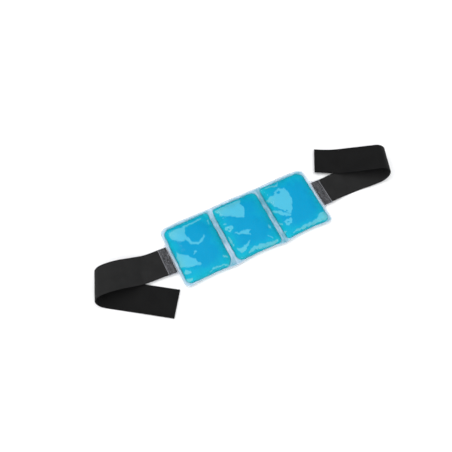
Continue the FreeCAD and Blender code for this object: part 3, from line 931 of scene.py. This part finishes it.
def pouch_edge(cell, u, v):
    """The outer edge of a cell's share of the film, rounded at the pouch's own ends."""
    index = CELLS.index(cell)
    x0 = -FLANGE_END if index == 0 else SEAM_X * (2 * index - 3)
    x1 = FLANGE_END if index == 2 else SEAM_X * (2 * index - 1)
    rounded = (index == 0 and u < 0) or (index == 2 and u > 0)
    corner = POUCH_CORNER if rounded else SHARP_CORNER
    x, y = eased(u, v, (x1 - x0) / 2, HALF_POUCH, corner)
    dip = (NEAR_DIPS[cell] if v < 0 else FAR_DIPS)[0] * MM * math.cos(math.pi / 2 * u)
    middle = (x0 + x1) / 2
    if abs(v) > ON_EDGE:
        y -= dip * (-1 if v < 0 else 1)
        y += EDGE_WANDER * noise.noise(Vector(((x + middle) * 60, y * 60, 2.2)))
    return x + middle, y


def weld_band(cell):
    """The frosted frame round one pocket, flat, with its front and back faces apart."""
    columns, rows = CELL_COLUMNS + 2 * BAND_CELLS, CELL_ROWS + 2 * BAND_CELLS
    bm = flat_grid(columns, rows)
    inner = []
    for face in bm.faces:
        centre = face.calc_center_median()
        if abs(centre.x) * columns < CELL_COLUMNS and abs(centre.y) * rows < CELL_ROWS:
            inner.append(face)
    bmesh.ops.delete(bm, geom=inner, context="FACES")
    thicken(bm)
    x0, x1, y0, y1 = pockets[cell]
    middle = Vector(((x0 + x1) / 2, (y0 + y1) / 2))
    rim_layer = bm.verts.layers.float.new("rim")
    for vert in bm.verts:
        across, up = vert.co.x * columns / CELL_COLUMNS, vert.co.y * rows / CELL_ROWS
        past = max((abs(across) - 1) * CELL_COLUMNS, (abs(up) - 1) * CELL_ROWS) / (2 * BAND_CELLS)
        past = min(1.0, max(0.0, past))
        inside = Vector(pocket_point(cell, min(1.0, max(-1.0, across)), min(1.0, max(-1.0, up))))
        inside -= (inside - middle).normalized() * TUCK
        reach = max(abs(vert.co.x), abs(vert.co.y))
        outside = Vector(pouch_edge(cell, vert.co.x / reach, vert.co.y / reach))
        long_edge = Vector(pouch_edge(cell, vert.co.x / reach, math.copysign(1, vert.co.y)))
        place = inside.lerp(outside, past)
        inland = min((place - long_edge).length, FLANGE_END - abs(place.x))
        ruffle = noise.noise(Vector((place.x * 130, place.y * 130, 8.0))) * RUFFLE
        ruffle += noise.noise(Vector((place.x * 40, place.y * 40, 6.0))) * SWELL
        thickness = THIN_EDGE + (1 - THIN_EDGE) * smooth_step(inland, 0.0, THIN_REACH)
        z = WELD_Z + ruffle * smooth_step(past, 0.0, 0.5) + vert.co.z * WELD_HALF * thickness
        vert.co = (place.x, place.y, z)
        vert[rim_layer] = 1 - smooth_step(inland, RIM_START, RIM_END)
    return bm


def cut_at_middle(bm, keep_left):
    """Keeps one half of the middle cell's band and closes the cut."""
    cut = bmesh.ops.bisect_plane(
        bm, geom=bm.verts[:] + bm.edges[:] + bm.faces[:], dist=1e-7, plane_co=(0, 0, 0),
        plane_no=(1, 0, 0), clear_outer=keep_left, clear_inner=not keep_left,
    )["geom_cut"]
    edges = [item for item in cut if isinstance(item, bmesh.types.BMEdge)]
    bmesh.ops.edgeloop_fill(bm, edges=edges)
    return bm


bands = {
    "weld_band_left": (weld_band("left"), "left"),
    "weld_band_middle_left": (cut_at_middle(weld_band("middle"), True), "left"),
    "weld_band_middle_right": (cut_at_middle(weld_band("middle"), False), "right"),
    "weld_band_right": (weld_band("right"), "right"),
}
for name, (bm, side_name) in bands.items():
    band = finished(name, bm, weld_finish)
    if side_name == "left":
        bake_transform(band)
    else:
        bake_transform(band)

# %% [markdown]
# ## The tabs
# At each end two clear films hold the strap's root like a sleeve. The sleeve steps up over the
# webbing and stands out a few millimetres past its edges near the pouch. The films are glossy,
# with a silvery haze and the pattern that the welding tool pressed into them. Bright specks on that
# pattern are painted glints, and a pale line where the films end on the webbing is a painted
# highlight of their cut edge.

# %% Tab finish
tab_finish, tree, shader = finish_called("tab_film", (0.5, 0.5, 0.54), 0.25)
place = mapped(tree, "Object", (260, 70, 100))
smears = add(tree, "TexNoise", Vector=place, Scale=1.0, Detail=5.0, Roughness=0.65)
dents = add(tree, "TexVoronoi", Vector=mapped(tree, "Object", (520, 380, 400)), Scale=1.0)
tree.links.new(bump(tree, dents.outputs["Distance"], 0.35 * MM, 0.6), shader.inputs["Normal"])
haze = ramp(tree, smears.outputs["Fac"], [(0.35, grey(0.01)), (0.72, grey(0.14))])
grains = add(tree, "TexNoise", Vector=mapped(tree, "Object", (850, 700, 800)), Scale=1.0, Detail=2.0)
# Painted glints: bright specks on the pressed pattern.
painted_glints = ramp(tree, grains.outputs["Fac"], [(0.56, grey(0.0)), (0.68, grey(0.4))])
haze = mixed(tree, 1.0, haze, painted_glints, "ADD")
rim = add(tree, "Attribute", attribute_name="rim").outputs["Fac"]
partly_clear(tree, mixed(tree, rim, haze, grey(0.34)), shader.outputs[0], (0.95, 0.96, 0.98))

# %% Make the tabs
TAB_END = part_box("tab_film_front_right")[1].x
TAB_START = TAB_X - 1.2 * MM
WIDE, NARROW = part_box("tab_film_front_right")[1].y, 26.6 * MM
FLARE_END = TAB_X + 8 * MM
FILM_GAP, SLEEVE_STEP = 0.25 * MM, 1.0 * MM
STEP_START, STEP_END = STRAP_ROOT_X - ROOT_EXTRA - 1.2 * MM, STRAP_ROOT_X - ROOT_EXTRA
FINE_CRINKLE, BROAD_CRINKLE = 0.22 * MM, 0.25 * MM


def tab_half_width(x):
    """The tab flares where it meets the pouch."""
    return NARROW + (WIDE - NARROW) * (1 - smooth_step(x, TAB_START, FLARE_END))


def tab_sleeve(name, side):
    """The two films of a tab as one flat sleeve, which steps up over the strap's root."""
    bm = flat_grid(48, 110)
    thicken(bm)
    rim_layer = bm.verts.layers.float.new("rim")
    for vert in bm.verts:
        x = TAB_START + (vert.co.x + 1) / 2 * (TAB_END - TAB_START)
        y = vert.co.y * tab_half_width(x)
        over = smooth_step(x, STEP_START, STEP_END)
        over *= 1 - smooth_step(abs(y), STRAP_WIDTH / 2 + 0.1 * MM, STRAP_WIDTH / 2 + 1.1 * MM)
        crinkle = noise.noise(Vector((x * 300, y * 160, 3.0 + side))) * FINE_CRINKLE
        crinkle += noise.noise(Vector((x * 90, y * 40, 5.0 + side))) * BROAD_CRINKLE
        z = WELD_Z + vert.co.z * (FILM_GAP + over * SLEEVE_STEP + max(0.0, crinkle) * over)
        vert.co = (side * x, y, z)
        # The rim is a painted highlight along the films' cut end.
        vert[rim_layer] = smooth_step(x, TAB_END - 1.6 * MM, TAB_END - 0.6 * MM)
    return finished(name, bm, tab_finish)


for side_name, side in (("left", -1), ("right", 1)):
    tab = tab_sleeve("tab_sleeve_" + side_name, side)
    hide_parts("tab_film_front_" + side_name, "tab_film_back_" + side_name)
    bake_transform(tab)
